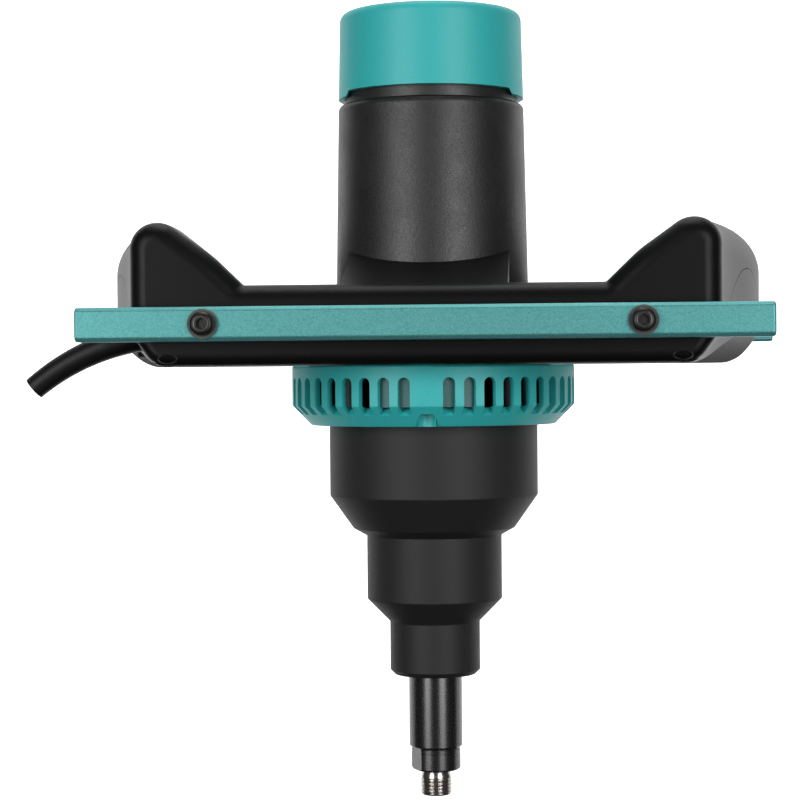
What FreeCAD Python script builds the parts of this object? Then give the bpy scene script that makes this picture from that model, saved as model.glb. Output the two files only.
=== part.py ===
import FreeCAD, Part
import math
import os
import re

import Sketcher
from fcgear import fcgear, involute

# A two-handed mixing drill, hung by its grips with the spindle pointing down.
# Millimetres, +Z up. The origin is on the spindle axis, on the shoulder that the
# stirring paddle seats against. -Y is the front, where the shorter guard bar is.

SIZES = {
    # Spindle, from its thread up
    "thread_radius": 7.0,
    "thread_length": 11.3,
    "thread_chamfer": 1.0,
    "spindle_end_radius": 11.0,
    "spindle_end_length": 10.05,
    "spindle_flats": 19.0,
    "spindle_flats_turn": 26.0,
    "spindle_radius": 11.85,
    "spindle_chamfer": 0.8,
    "spindle_reach": 42.7,
    "spindle_seat_radius": 10.0,
    "spindle_gear_seat_radius": 9.0,
    "running_clearance": 0.05,
    "fit_clearance": 0.02,
    # Neck that carries the spindle bearings
    "nose_radius": 20.0,
    "nose_length": 23.5,
    "nose_chamfer": 2.0,
    "nose_lip": 2.0,
    "nose_mouth_clearance": 0.6,
    "neck_cone_length": 10.15,
    "neck_radius": 30.0,
    "neck_length": 28.2,
    "neck_edge_rounding": 0.8,
    "seal_radius": 16.0,
    "seal_height": 6.0,
    "low_bearing_radius": 16.0,
    "low_bearing_height": 7.0,
    "high_bearing_radius": 23.5,
    "high_bearing_height": 14.0,
    "bearing_shield_depth": 0.6,
    "bearing_ring_wall": 2.2,
    # Gear case and the plate that closes it
    "case_bevel_radius": 36.0,
    "case_bevel_step": 3.3,
    "case_bevel_height": 14.6,
    "case_radius": 46.25,
    "case_length": 30.1,
    "case_wall": 4.0,
    "case_floor": 6.0,
    "case_floor_hole_radius": 13.5,
    "case_floor_radius": 33.5,
    "case_floor_bevel": 12.0,
    "case_boss_ring_radius": 39.0,
    "case_boss_radius": 4.6,
    "plate_register": 6.0,
    "plate_edge_height": 3.0,
    "plate_flange_radius": 52.4,
    "plate_flange_height": 3.0,
    "post_ring_radius": 47.6,
    "post_radius": 4.6,
    "plate_screw_radius": 2.0,
    "plate_screw_head_radius": 3.5,
    "plate_screw_head_height": 2.4,
    "plate_screw_grip": 10.0,
    "motor_screw_radius": 2.5,
    "motor_screw_head_radius": 4.2,
    "motor_screw_head_height": 3.2,
    "motor_screw_grip": 18.0,
    "neck_screw_ring_radius": 26.75,
    "neck_screw_grip": 9.0,
    # Gears: two spur stages that bring the drive back to the spindle axis
    "tooth_module": 1.0,
    "tooth_angle": 20.0,
    "shaft_distance": 22.3,
    "motor_pinion_teeth": 8,
    "layshaft_gear_teeth": 36,
    "layshaft_pinion_teeth": 9,
    "spindle_gear_teeth": 35,
    "pinion_shift": 0.5,
    "gear_shift": -0.7,
    "pinion_addendum": 0.8,
    "spindle_gear_height": 12.0,
    "spindle_gear_hub_radius": 12.5,
    "layshaft_gear_height": 9.0,
    "layshaft_seat_radius": 6.0,
    "layshaft_journal_radius": 4.0,
    "bush_radius": 7.0,
    "low_bush_height": 4.0,
    "high_bush_height": 5.5,
    "gear_gap": 2.0,
    # Vent ring
    "ring_radius": 62.7,
    "ring_bottom_radius": 54.2,
    "ring_chamfer_height": 8.7,
    "ring_height": 27.5,
    "ring_lift": 1.3,
    "ring_wall": 3.0,
    "ring_floor": 1.7,
    "ring_edge_rounding": 1.0,
    "slot_width": 5.2,
    "slot_top": 20.9,
    "slot_foot": 7.9,
    "slot_floor_start": 55.9,
    "slot_top_rounding": 2.55,
    "slots_per_side": 21,
    "slot_gap_angle": 17.46,
    "ring_notch_radius": 4.0,
    "ring_notch_height": 5.6,
    "ring_screw_circle": 56.2,
    "ring_post_radius": 3.7,
    "ring_screw_radius": 1.9,
    "ring_screw_head_radius": 3.3,
    "ring_screw_grip": 8.0,
    "ring_screw_head_height": 2.4,
    # Handle frame: an upper and a lower shell that meet behind the bars
    "handle_depth": 166.0,
    "handle_front_width": 121.0,
    "handle_waist_width": 135.5,
    "handle_waist_place": -20.0,
    "handle_middle_width": 148.0,
    "handle_middle_place": 38.0,
    "handle_rear_width": 144.0,
    "handle_low_height": 17.25,
    "handle_beam_height": 16.25,
    "grip_height": 44.25,
    "grip_front_drop": 2.0,
    "grip_waist_drop": 0.0,
    "grip_middle_drop": 1.0,
    "grip_rear_drop": 6.0,
    "grip_front_rounding": 10.0,
    "grip_waist_rounding": 18.0,
    "grip_middle_rounding": 20.0,
    "grip_rear_rounding": 16.5,
    "grip_front_crest": 106.0,
    "grip_waist_crest": 111.5,
    "grip_middle_crest": 117.0,
    "grip_rear_crest": 121.5,
    "grip_crest_rounding": 12.0,
    "grip_bend_run": 18.0,
    "grip_bend_rise": 13.6,
    "grip_bend_rounding": 70.0,
    "grip_foot_run": 32.0,
    "grip_foot_rounding": 1.5,
    "low_side_height": 14.0,
    "low_side_run": 10.0,
    "low_side_rounding": 11.0,
    "face_rounding": 8.0,
    "low_face_rounding": 5.0,
    "finger_inner": 52.0,
    "finger_outer": 102.0,
    "finger_length": 100.0,
    "finger_rounding": 18.0,
    "finger_rim_rounding": 3.0,
    "hub_clearance": 0.15,
    "saddle_width": 69.0,
    "saddle_back": 24.0,
    "saddle_rise": 16.2,
    "arch_length": 124.0,
    "arch_peak": 26.5,
    "arch_rounding": 146.0,
    "arch_inner": 92.0,
    "grip_cavity_inner": 109.0,
    "grip_cavity_outer": 127.0,
    "grip_cavity_length": 78.0,
    "grip_cavity_height": 27.0,
    "beam_cavity_width": 150.0,
    "beam_cavity_depth": 17.0,
    "beam_cavity_height": 10.5,
    "cavity_rounding": 5.0,
    # Shell screws
    "shell_screw_front": 108.0,
    "shell_screw_rear": 118.0,
    "shell_screw_inset": 6.2,
    "shell_recess_radius": 4.15,
    "shell_recess_depth": 7.0,
    "shell_screw_radius": 2.0,
    "shell_screw_head_radius": 3.9,
    "shell_screw_head_height": 2.6,
    "shell_screw_length": 24.0,
    # Side covers
    "cover_place": -10.0,
    "cover_rise": 5.0,
    "cover_length": 96.0,
    "cover_height": 50.0,
    "cover_crown_rounding": 50.0,
    "cover_tip_rounding": 7.0,
    "cover_thickness": 2.4,
    "cover_gap": 0.35,
    # Guard bars
    "front_bar_length": 283.6,
    "rear_bar_length": 318.0,
    "bar_height": 14.1,
    "bar_thickness": 12.0,
    "bar_bevel": 1.6,
    "bar_end_rounding": 1.2,
    "bolt_spacing": 178.0,
    "bolt_radius": 3.0,
    "bolt_head_radius": 5.0,
    "bolt_head_height": 3.3,
    "bolt_head_rounding": 2.2,
    "bolt_socket_flats": 4.0,
    "bolt_socket_depth": 2.0,
    "bolt_length": 26.0,
    "washer_radius": 6.1,
    "washer_height": 1.4,
    "insert_radius": 5.0,
    "insert_length": 18.0,
    # Motor housing and cap
    "motor_low_radius": 42.6,
    "motor_high_radius": 41.0,
    "motor_top": 295.55,
    "motor_rim_rounding": 3.0,
    "motor_bore_radius": 38.2,
    "motor_flange_height": 4.0,
    "motor_neck_radius": 38.0,
    "motor_neck_bore": 35.2,
    "motor_neck_height": 9.0,
    "cap_low_radius": 41.0,
    "cap_high_radius": 40.1,
    "cap_foot": 2.2,
    "cap_height": 38.3,
    "cap_wall": 2.6,
    "cap_rounding": 4.0,
    "air_slot_height": 2.4,
    "air_slot_width": 70.0,
    "spider_height": 3.0,
    "spider_hub_radius": 14.0,
    "spider_window_width": 16.0,
    "spider_windows": 4,
    # Electric motor
    "shaft_radius": 6.0,
    "shaft_top_radius": 4.0,
    "motor_bearing_radius": 14.0,
    "motor_bearing_height": 8.0,
    "top_bearing_radius": 11.0,
    "top_bearing_height": 7.0,
    "stator_foot": 199.55,
    "stator_height": 50.0,
    "stator_bore": 23.6,
    "field_coil_height": 9.5,
    "field_coil_inner": 26.0,
    "field_coil_outer": 36.0,
    "coil_rounding": 3.0,
    "rotor_radius": 22.6,
    "rotor_slots": 12,
    "rotor_slot_width": 3.0,
    "rotor_slot_depth": 5.0,
    "rotor_coil_height": 8.5,
    "rotor_coil_radius": 18.5,
    "commutator_foot": 261.55,
    "commutator_radius": 13.0,
    "commutator_height": 17.0,
    "brush_width": 6.0,
    "brush_height": 12.0,
    "brush_length": 15.0,
    "brush_gap": 0.1,
    "holder_wall": 2.0,
    "holder_start": 17.0,
    "fan_foot": 159.75,
    "fan_height": 15.0,
    "fan_radius": 42.0,
    "fan_hub_radius": 11.0,
    "fan_plate": 1.8,
    "fan_blades": 24,
    "fan_blade_width": 1.6,
    # Switch, trigger and lock button in the grip on the cable side
    "switch_length": 46.0,
    "switch_width": 11.5,
    "switch_place": -120.5,
    "switch_foot": 9.0,
    "switch_height": 18.0,
    "switch_well": 8.0,
    "trigger_place": -12.5,
    "trigger_length": 44.0,
    "trigger_width": 12.0,
    "trigger_foot": 4.0,
    "trigger_top": 1.5,
    "trigger_gap": 0.4,
    "trigger_rounding": 4.0,
    "trigger_stem_length": 16.0,
    "trigger_stem_width": 7.5,
    "trigger_stem_entry": 1.0,
    "lock_button_radius": 5.0,
    "lock_button_rim": 1.5,
    "lock_button_collar": 2.0,
    "lock_button_reach": 4.0,
    "lock_button_place": -20.0,
    "lock_button_rise": 20.0,
    # Bend-relief sleeve of the mains lead
    "sleeve_inset": 21.0,
    "sleeve_rise": 13.8,
    "sleeve_start_radius": 6.0,
    "sleeve_end_radius": 4.9,
    "sleeve_bore": 4.1,
    "sleeve_bore_overrun": 1.0,
    "sleeve_bend_radius": 96.0,
    "sleeve_bend": 40.0,
    "sleeve_inner_end": 112.0,
    "sleeve_bend_start": 104.0,
    "wire_channel_depth": 8.0,
    "wire_channel_width": 10.0,
}

doc = FreeCAD.newDocument("mixing_drill")
sheet = doc.addObject("Spreadsheet::Sheet", "Sizes")
for row, (alias, size) in enumerate(SIZES.items(), start=1):
    sheet.set(f"A{row}", str(size))
    sheet.setAlias(f"A{row}", alias)
doc.recompute()


def sized(text):
    """An expression in which each driving size is read from the sheet."""
    return re.sub(r"[a-z_]+", lambda word: f"Sizes.{word[0]}" if word[0] in SIZES else word[0], text)


def number(text):
    """The present value of an expression of driving sizes."""
    return float(sheet.evalExpression(sized(text)))


def bind(thing, prop, text):
    thing.setExpression(prop, sized(text))


def new_body(label):
    body = doc.addObject("PartDesign::Body", label)
    body.Label = label
    body.AllowCompound = True
    return body


def origin_part(body, role):
    return next(part for part in body.Origin.OriginFeatures if part.Role == role)


def new_sketch(owner, name, plane, offset):
    """A sketch in a body, offset along the normal of one of the body's origin planes."""
    sketch = owner.newObject("Sketcher::SketchObject", name)
    sketch.AttachmentSupport = (origin_part(owner, plane), "")
    sketch.MapMode = "FlatFace"
    bind(sketch, ".AttachmentOffset.Base.z", offset)
    return sketch


def place_point(sketch, geometry, position, x, y):
    for kind, text in (("DistanceX", x), ("DistanceY", y)):
        index = sketch.addConstraint(
            Sketcher.Constraint(kind, -1, 1, geometry, position, number(text))
        )
        bind(sketch, f"Constraints[{index}]", text)


def draw_outline(sketch, corners):
    """A closed outline through corners (x, y) or, rounded by a tangent arc, (x, y, radius)."""
    count = len(corners)
    points = [FreeCAD.Vector(number(c[0]), number(c[1]), 0) for c in corners]
    arrivals, departures, arcs = list(points), list(points), {}
    for i, corner in enumerate(corners):
        if len(corner) == 2:
            continue
        radius = number(corner[2])
        back = (points[i - 1] - points[i]).normalize()
        ahead = (points[(i + 1) % count] - points[i]).normalize()
        half = back.getAngle(ahead) / 2
        arrivals[i] = points[i] + back * (radius / math.tan(half))
        departures[i] = points[i] + ahead * (radius / math.tan(half))
        centre = points[i] + (back + ahead).normalize() * (radius / math.sin(half))
        arcs[i] = (centre, radius, ahead.cross(back).z > 0)
    first = sketch.GeometryCount
    for i in range(count):
        sketch.addGeometry(Part.LineSegment(departures[i], arrivals[(i + 1) % count]), False)
    for i, corner in enumerate(corners):
        before, after = first + (i - 1) % count, first + i
        if i not in arcs:
            sketch.addConstraint(Sketcher.Constraint("Coincident", before, 2, after, 1))
            place_point(sketch, after, 1, corner[0], corner[1])
            continue
        centre, radius, leftward = arcs[i]
        begin, end = (arrivals[i], departures[i]) if leftward else (departures[i], arrivals[i])
        angles = [math.atan2(p.y - centre.y, p.x - centre.x) for p in (begin, end)]
        circle = Part.Circle(centre, FreeCAD.Vector(0, 0, 1), radius)
        arc = sketch.addGeometry(Part.ArcOfCircle(circle, *angles), False)
        point = sketch.addGeometry(Part.Point(points[i]), True)
        place_point(sketch, point, 1, corner[0], corner[1])
        for line in (before, after):
            sketch.addConstraint(Sketcher.Constraint("PointOnObject", point, 1, line))
        near, far = (1, 2) if leftward else (2, 1)
        sketch.addConstraint(Sketcher.Constraint("Tangent", before, 2, arc, near))
        sketch.addConstraint(Sketcher.Constraint("Tangent", arc, far, after, 1))
        index = sketch.addConstraint(Sketcher.Constraint("Radius", arc, radius))
        bind(sketch, f"Constraints[{index}]", corner[2])


def draw_circle(sketch, x, y, radius):
    centre = FreeCAD.Vector(number(x), number(y), 0)
    circle = sketch.addGeometry(
        Part.Circle(centre, FreeCAD.Vector(0, 0, 1), number(radius)), False
    )
    place_point(sketch, circle, 3, x, y)
    index = sketch.addConstraint(Sketcher.Constraint("Radius", circle, number(radius)))
    bind(sketch, f"Constraints[{index}]", radius)


def mirrored_corners(right):
    """A symmetric outline from its right half, listed from its foot up to its inner end."""
    return right + [("-(" + c[0] + ")",) + tuple(c[1:]) for c in reversed(right)]


def block(left, low, right, high, rounding=None):
    corners = [(left, low), (right, low), (right, high), (left, high)]
    return [c + (rounding,) for c in corners] if rounding else corners


def revolve(body, corners, kind="Revolution"):
    """Turn a half section (radius, height) about the body's Z axis."""
    sketch = new_sketch(body, "half_section", "XZ_Plane", "0")
    draw_outline(sketch, corners)
    turn = body.newObject(f"PartDesign::{kind}", "turn")
    turn.Profile = sketch
    turn.ReferenceAxis = (sketch, ["V_Axis"])
    turn.Angle = 360
    return turn


def extrude(body, kind, plane, offset, length, draw, symmetric=False, reverse=False):
    """Pad or pocket a sketch that draw fills, by length from an offset origin plane."""
    sketch = new_sketch(body, "outline", plane, offset)
    draw(sketch)
    feature = body.newObject(f"PartDesign::{kind}", kind.lower())
    feature.Profile = sketch
    bind(feature, "Length", length)
    feature.SideType = "Symmetric" if symmetric else "One side"
    feature.Reversed = reverse
    return feature


def outline_of(corners):
    return lambda sketch: draw_outline(sketch, corners)


def circles_of(*circles):
    def draw(sketch):
        for circle in circles:
            draw_circle(sketch, *circle)

    return draw


def polar_pattern(body, features, count):
    pattern = body.newObject("PartDesign::PolarPattern", "around")
    pattern.Originals = features
    pattern.Axis = (origin_part(body, "Z_Axis"), [""])
    pattern.Angle = 360
    bind(pattern, "Occurrences", count)
    body.Tip = pattern
    return pattern


def mirror(body, features, plane):
    """Repeat features on the other side of one of the body's origin planes."""
    copy = body.newObject("PartDesign::Mirrored", "mirrored")
    copy.Originals = features
    copy.MirrorPlane = (origin_part(body, plane), [""])
    body.Tip = copy
    return copy


def turned(label, corners):
    body = new_body(label)
    revolve(body, corners)
    return body


def ball_bearing(label, shaft, outer, height, foot):
    """A shielded ball bearing: its two rings stand proud of the shields between them."""
    top = f"{foot} + {height}"
    low_shield = f"{foot} + bearing_shield_depth"
    high_shield = f"{top} - bearing_shield_depth"
    inner_ring = f"{shaft} + bearing_ring_wall"
    outer_ring = f"{outer} - bearing_ring_wall"
    bore = f"{shaft} + fit_clearance"
    rim = f"{outer} - fit_clearance"
    return turned(
        label,
        [
            (bore, foot), (inner_ring, foot), (inner_ring, low_shield), (outer_ring, low_shield),
            (outer_ring, foot), (rim, foot), (rim, top), (outer_ring, top),
            (outer_ring, high_shield), (inner_ring, high_shield), (inner_ring, top), (bore, top),
        ],
    )


def round_edges(body, radius, chosen):
    """Fillet the edges of the body's last feature that pass a test."""
    doc.recompute()
    base = body.Tip
    names = [f"Edge{i}" for i, edge in enumerate(base.Shape.Edges, start=1) if chosen(edge)]
    fillet = body.newObject("PartDesign::Fillet", "fillet")
    fillet.Base = (base, names)
    bind(fillet, "Radius", radius)
    return fillet


# Heights of the faces where one piece rests on the next, from the spindle shoulder up
NOSE_FOOT = "spindle_reach"
NOSE_TOP = f"{NOSE_FOOT} + nose_length"
CONE_TOP = f"{NOSE_TOP} + neck_cone_length"
NECK_TOP = f"{CONE_TOP} + neck_length"
CASE_FLOOR = f"{NECK_TOP} + case_floor"
CASE_TOP = f"{NECK_TOP} + case_bevel_step + case_bevel_height + case_length"
RING_FOOT = f"{CASE_TOP} + ring_lift"
RING_TOP = f"{CASE_TOP} + ring_height"
SPLIT = f"{RING_TOP} + handle_low_height"
BEAM_TOP = f"{SPLIT} + handle_beam_height"
GRIP_TOP = f"{SPLIT} + grip_height"
SEAL_FOOT = f"{NOSE_FOOT} + nose_lip"
LOW_BEARING_FOOT = f"{SEAL_FOOT} + seal_height"
HIGH_BEARING_FOOT = f"{NECK_TOP} - high_bearing_height"
SPINDLE_GEAR_FOOT = f"{CASE_FLOOR} + gear_gap"
SPINDLE_GEAR_TOP = f"{SPINDLE_GEAR_FOOT} + spindle_gear_height"
LAYSHAFT_GEAR_FOOT = f"{SPINDLE_GEAR_TOP} + 2 * gear_gap"
LAYSHAFT_GEAR_TOP = f"{LAYSHAFT_GEAR_FOOT} + layshaft_gear_height"
PLATE_FOOT = f"{CASE_TOP} - plate_register"
HIGH_BUSH_FOOT = f"{PLATE_FOOT} - high_bush_height"
PLATE_TOP = f"{CASE_TOP} + plate_edge_height"
FLANGE_TOP = f"{PLATE_TOP} + plate_flange_height"
MOTOR_BEARING_FOOT = f"{PLATE_TOP} - motor_bearing_height"
SPIDER_FOOT = "commutator_foot + commutator_height + spider_height"
TOP_BEARING_FOOT = f"{SPIDER_FOOT} + spider_height"
FRONT = "handle_depth / 2"
SLEEVE_PLACE = f"-({FRONT} - sleeve_inset)"

# Neck: a turned casting with the seal and lower bearing in its nose
neck = turned(
    "spindle_neck",
    [
        ("spindle_radius + nose_mouth_clearance", NOSE_FOOT),
        ("nose_radius - nose_chamfer", NOSE_FOOT),
        ("nose_radius", f"{NOSE_FOOT} + nose_chamfer"),
        ("nose_radius", NOSE_TOP, "neck_edge_rounding"),
        ("neck_radius", CONE_TOP, "neck_edge_rounding"),
        ("neck_radius", NECK_TOP),
        ("high_bearing_radius", NECK_TOP),
        ("high_bearing_radius", HIGH_BEARING_FOOT),
        ("low_bearing_radius", HIGH_BEARING_FOOT),
        ("low_bearing_radius", SEAL_FOOT),
        ("spindle_radius + nose_mouth_clearance", SEAL_FOOT),
    ],
)

# Spindle: thread, wrench flats, sealing surface, two bearing seats and the gear seat
spindle = turned(
    "spindle",
    [
        ("0", "-thread_length"),
        ("thread_radius - thread_chamfer", "-thread_length"),
        ("thread_radius", "thread_chamfer - thread_length"),
        ("thread_radius", "0"),
        ("spindle_end_radius - spindle_chamfer", "0"),
        ("spindle_end_radius", "spindle_chamfer"),
        ("spindle_end_radius", "spindle_end_length"),
        ("spindle_radius", "spindle_end_length + spindle_chamfer"),
        ("spindle_radius", LOW_BEARING_FOOT),
        ("spindle_seat_radius", LOW_BEARING_FOOT),
        ("spindle_seat_radius", NECK_TOP),
        ("spindle_gear_seat_radius", NECK_TOP),
        ("spindle_gear_seat_radius", f"{SPINDLE_GEAR_TOP} + gear_gap"),
        ("0", f"{SPINDLE_GEAR_TOP} + gear_gap"),
    ],
)
flat = extrude(
    spindle, "Pocket", "XY_Plane", "0", "spindle_end_length",
    outline_of(block(
        "spindle_flats / 2", "-spindle_end_radius", "2 * spindle_end_radius", "spindle_end_radius"
    )),
    reverse=True,
)
mirror(spindle, [flat], "YZ_Plane")
bind(spindle, ".Placement.Rotation.Angle", "spindle_flats_turn")

spindle_seal = turned(
    "spindle_seal",
    block(
        "spindle_radius + running_clearance", SEAL_FOOT,
        "seal_radius - fit_clearance", LOW_BEARING_FOOT,
    ),
)
ball_bearing(
    "spindle_low_bearing", "spindle_seat_radius", "low_bearing_radius",
    "low_bearing_height", LOW_BEARING_FOOT,
)
ball_bearing(
    "spindle_high_bearing", "spindle_seat_radius", "high_bearing_radius",
    "high_bearing_height", HIGH_BEARING_FOOT,
)


def toothed_disc(teeth, shift, addendum, height, turn):
    """A spur gear blank with involute teeth, from its foot plane up, turned by an angle."""
    builder = fcgear.FCWireBuilder()
    involute.CreateExternalGear(
        builder, number("tooth_module"), int(number(teeth)), number("tooth_angle"),
        split=False, addCoeff=addendum, shiftCoeff=number(shift),
    )
    rim = Part.Wire([edge.toShape() for edge in builder.wire])
    disc = Part.Face(rim).extrude(FreeCAD.Vector(0, 0, height))
    disc.rotate(FreeCAD.Vector(), FreeCAD.Vector(0, 0, 1), turn)
    return disc


def drum(radius, foot, top):
    return Part.makeCylinder(number(radius), number(top) - number(foot), FreeCAD.Vector(0, 0, number(foot)))


def gear_piece(label, shape, x="0", y="0"):
    """A toothed piece, set on its shaft line."""
    piece = doc.addObject("Part::Feature", label)
    piece.Shape = shape
    bind(piece, ".Placement.Base.x", x)
    bind(piece, ".Placement.Base.y", y)
    return piece


def lifted(shape, height):
    shape.translate(FreeCAD.Vector(0, 0, number(height)))
    return shape


# Each tooth that points along the line of shafts meets a gap of its mate
towards_layshaft = 90.0
half_pitch_motor = 180.0 / number("motor_pinion_teeth")
half_pitch_spindle = 180.0 / number("spindle_gear_teeth")

spindle_teeth = lifted(
    toothed_disc(
        "spindle_gear_teeth", "gear_shift", 1.0, number("spindle_gear_height"),
        towards_layshaft + half_pitch_spindle,
    ),
    SPINDLE_GEAR_FOOT,
)
spindle_hub = drum("spindle_gear_hub_radius", NECK_TOP, SPINDLE_GEAR_FOOT)
spindle_bore = drum("spindle_gear_seat_radius + fit_clearance", NECK_TOP, SPINDLE_GEAR_TOP)
gear_piece("spindle_gear", spindle_teeth.fuse(spindle_hub).cut(spindle_bore).removeSplitter())

layshaft_teeth = lifted(
    toothed_disc(
        "layshaft_gear_teeth", "gear_shift", 1.0, number("layshaft_gear_height"), -towards_layshaft
    ),
    LAYSHAFT_GEAR_FOOT,
)
layshaft_bore = drum("layshaft_seat_radius + fit_clearance", LAYSHAFT_GEAR_FOOT, LAYSHAFT_GEAR_TOP)
gear_piece("layshaft_gear", layshaft_teeth.cut(layshaft_bore), y="shaft_distance")

layshaft_pinion = lifted(
    toothed_disc(
        "layshaft_pinion_teeth", "pinion_shift", number("pinion_addendum"),
        number("spindle_gear_height + gear_gap"), -towards_layshaft,
    ),
    SPINDLE_GEAR_FOOT,
)
layshaft_rod = drum("layshaft_journal_radius", f"{CASE_FLOOR} - low_bush_height", PLATE_FOOT)
layshaft_seat = drum(
    "layshaft_seat_radius", f"{SPINDLE_GEAR_TOP} + gear_gap", f"{HIGH_BUSH_FOOT} - gear_gap / 4"
)
gear_piece(
    "layshaft", layshaft_rod.fuse([layshaft_pinion, layshaft_seat]).removeSplitter(),
    y="shaft_distance",
)


def shaft_bush(label, foot, height):
    bush = turned(
        label,
        block(
            "layshaft_journal_radius + running_clearance", foot,
            "bush_radius - fit_clearance", f"{foot} + {height}",
        ),
    )
    bind(bush, ".Placement.Base.y", "shaft_distance")
    return bush


shaft_bush("layshaft_low_bush", f"{CASE_FLOOR} - low_bush_height", "low_bush_height")
shaft_bush("layshaft_high_bush", HIGH_BUSH_FOOT, "high_bush_height")

# Gear case: a die casting with a bevelled foot, bosses for the plate screws inside
gear_case = turned(
    "gear_case",
    [
        ("case_floor_hole_radius", NECK_TOP),
        ("neck_radius", NECK_TOP),
        ("case_bevel_radius", f"{NECK_TOP} + case_bevel_step", "neck_edge_rounding"),
        ("case_radius", f"{NECK_TOP} + case_bevel_step + case_bevel_height", "neck_edge_rounding"),
        ("case_radius", CASE_TOP),
        ("case_radius - case_wall", CASE_TOP),
        ("case_radius - case_wall", f"{CASE_FLOOR} + case_floor_bevel"),
        ("case_floor_radius", CASE_FLOOR),
        ("case_floor_hole_radius", CASE_FLOOR),
    ],
)
CASE_SCREW_ANGLES = (20, 160, 215, 325)


def on_ring(radius, angle):
    return f"{radius} * cos({angle} deg)", f"{radius} * sin({angle} deg)"


CASE_SCREWS = [on_ring("case_boss_ring_radius", angle) for angle in CASE_SCREW_ANGLES]
extrude(
    gear_case, "Pad", "XY_Plane", PLATE_FOOT, f"{PLATE_FOOT} - ({CASE_FLOOR} + case_floor_bevel)",
    circles_of(*[(x, y, "case_boss_radius") for x, y in CASE_SCREWS]), reverse=True,
)
extrude(
    gear_case, "Pocket", "XY_Plane", CASE_FLOOR, "low_bush_height",
    circles_of(("0", "shaft_distance", "bush_radius")),
)

# Gear plate: closes the case, holds the motor's lower bearing and the posts under the motor
gear_plate = turned(
    "gear_plate",
    [
        ("shaft_radius + nose_mouth_clearance", PLATE_FOOT),
        ("case_radius - case_wall - running_clearance", PLATE_FOOT),
        ("case_radius - case_wall - running_clearance", CASE_TOP),
        ("case_radius", CASE_TOP),
        ("case_radius", PLATE_TOP),
        ("plate_flange_radius", PLATE_TOP),
        ("plate_flange_radius", FLANGE_TOP),
        ("post_ring_radius - post_radius", FLANGE_TOP),
        ("post_ring_radius - post_radius", PLATE_TOP),
        ("motor_bearing_radius", PLATE_TOP),
        ("motor_bearing_radius", MOTOR_BEARING_FOOT),
        ("shaft_radius + nose_mouth_clearance", MOTOR_BEARING_FOOT),
    ],
)
POST_ANGLES = (45, 135, 225, 315)
POSTS = [on_ring("post_ring_radius", angle) for angle in POST_ANGLES]
extrude(
    gear_plate, "Pad", "XY_Plane", FLANGE_TOP, f"{RING_TOP} - ({FLANGE_TOP})",
    circles_of(*[(x, y, "post_radius") for x, y in POSTS]),
)
extrude(
    gear_plate, "Pad", "XY_Plane", HIGH_BUSH_FOOT, "high_bush_height",
    circles_of(("0", "shaft_distance", "bush_radius + holder_wall")),
)
extrude(
    gear_plate, "Pocket", "XY_Plane", HIGH_BUSH_FOOT, "high_bush_height",
    circles_of(("0", "shaft_distance", "bush_radius")), reverse=True,
)
ball_bearing(
    "motor_low_bearing", "shaft_radius", "motor_bearing_radius",
    "motor_bearing_height", MOTOR_BEARING_FOOT,
)

# Screws are a head and a shank on the same circles, both round
def screws(label, places, head_radius, head_foot, head_height, shank_radius, shank_length, upward):
    """A set of like screws, one solid each, whose heads rest on one level."""
    body = new_body(label)
    extrude(
        body, "Pad", "XY_Plane", head_foot, head_height,
        circles_of(*[(x, y, head_radius) for x, y in places]), reverse=upward,
    )
    extrude(
        body, "Pad", "XY_Plane", head_foot, shank_length,
        circles_of(*[(x, y, shank_radius) for x, y in places]), reverse=not upward,
    )
    return body


def holes(body, places, radius, foot, depth, upward=False):
    return extrude(
        body, "Pocket", "XY_Plane", foot, depth,
        circles_of(*[(x, y, radius) for x, y in places]), reverse=upward,
    )


holes(gear_plate, CASE_SCREWS, "plate_screw_radius + running_clearance", PLATE_TOP,
      "plate_edge_height + plate_register")
holes(gear_case, CASE_SCREWS, "plate_screw_radius", PLATE_FOOT, "plate_screw_grip")
screws(
    "gear_plate_screws", CASE_SCREWS, "plate_screw_head_radius", PLATE_TOP,
    "plate_screw_head_height", "plate_screw_radius - fit_clearance",
    "plate_edge_height + plate_register + plate_screw_grip - gear_gap / 2", upward=False,
)
holes(gear_plate, POSTS, "motor_screw_radius", RING_TOP, "motor_screw_grip")

# Vent ring: a moulded ring round the fan, slotted for the cooling air
vent_ring = turned(
    "vent_ring",
    [
        ("case_radius + hub_clearance", RING_FOOT),
        ("ring_bottom_radius", RING_FOOT, "ring_edge_rounding"),
        ("ring_radius", f"{RING_FOOT} + ring_chamfer_height", "ring_edge_rounding"),
        ("ring_radius", RING_TOP, "ring_edge_rounding"),
        ("ring_radius - ring_wall", RING_TOP),
        ("ring_radius - ring_wall", f"{RING_FOOT} + ring_chamfer_height"),
        ("ring_bottom_radius", f"{RING_FOOT} + slot_foot"),
        ("ring_bottom_radius", f"{RING_FOOT} + ring_floor"),
        ("case_radius + hub_clearance", f"{RING_FOOT} + ring_floor"),
    ],
)
RING_SCREWS = [("0", "-ring_screw_circle"), ("0", "ring_screw_circle")]
extrude(
    vent_ring, "Pad", "XY_Plane", RING_TOP, "ring_height - ring_lift - ring_floor",
    circles_of(*[(x, y, "ring_post_radius") for x, y in RING_SCREWS]), reverse=True,
)
SLOT_START = "(ring_bottom_radius - ring_wall)"
SLOT_FOOT = f"{RING_FOOT} + slot_foot"
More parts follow.
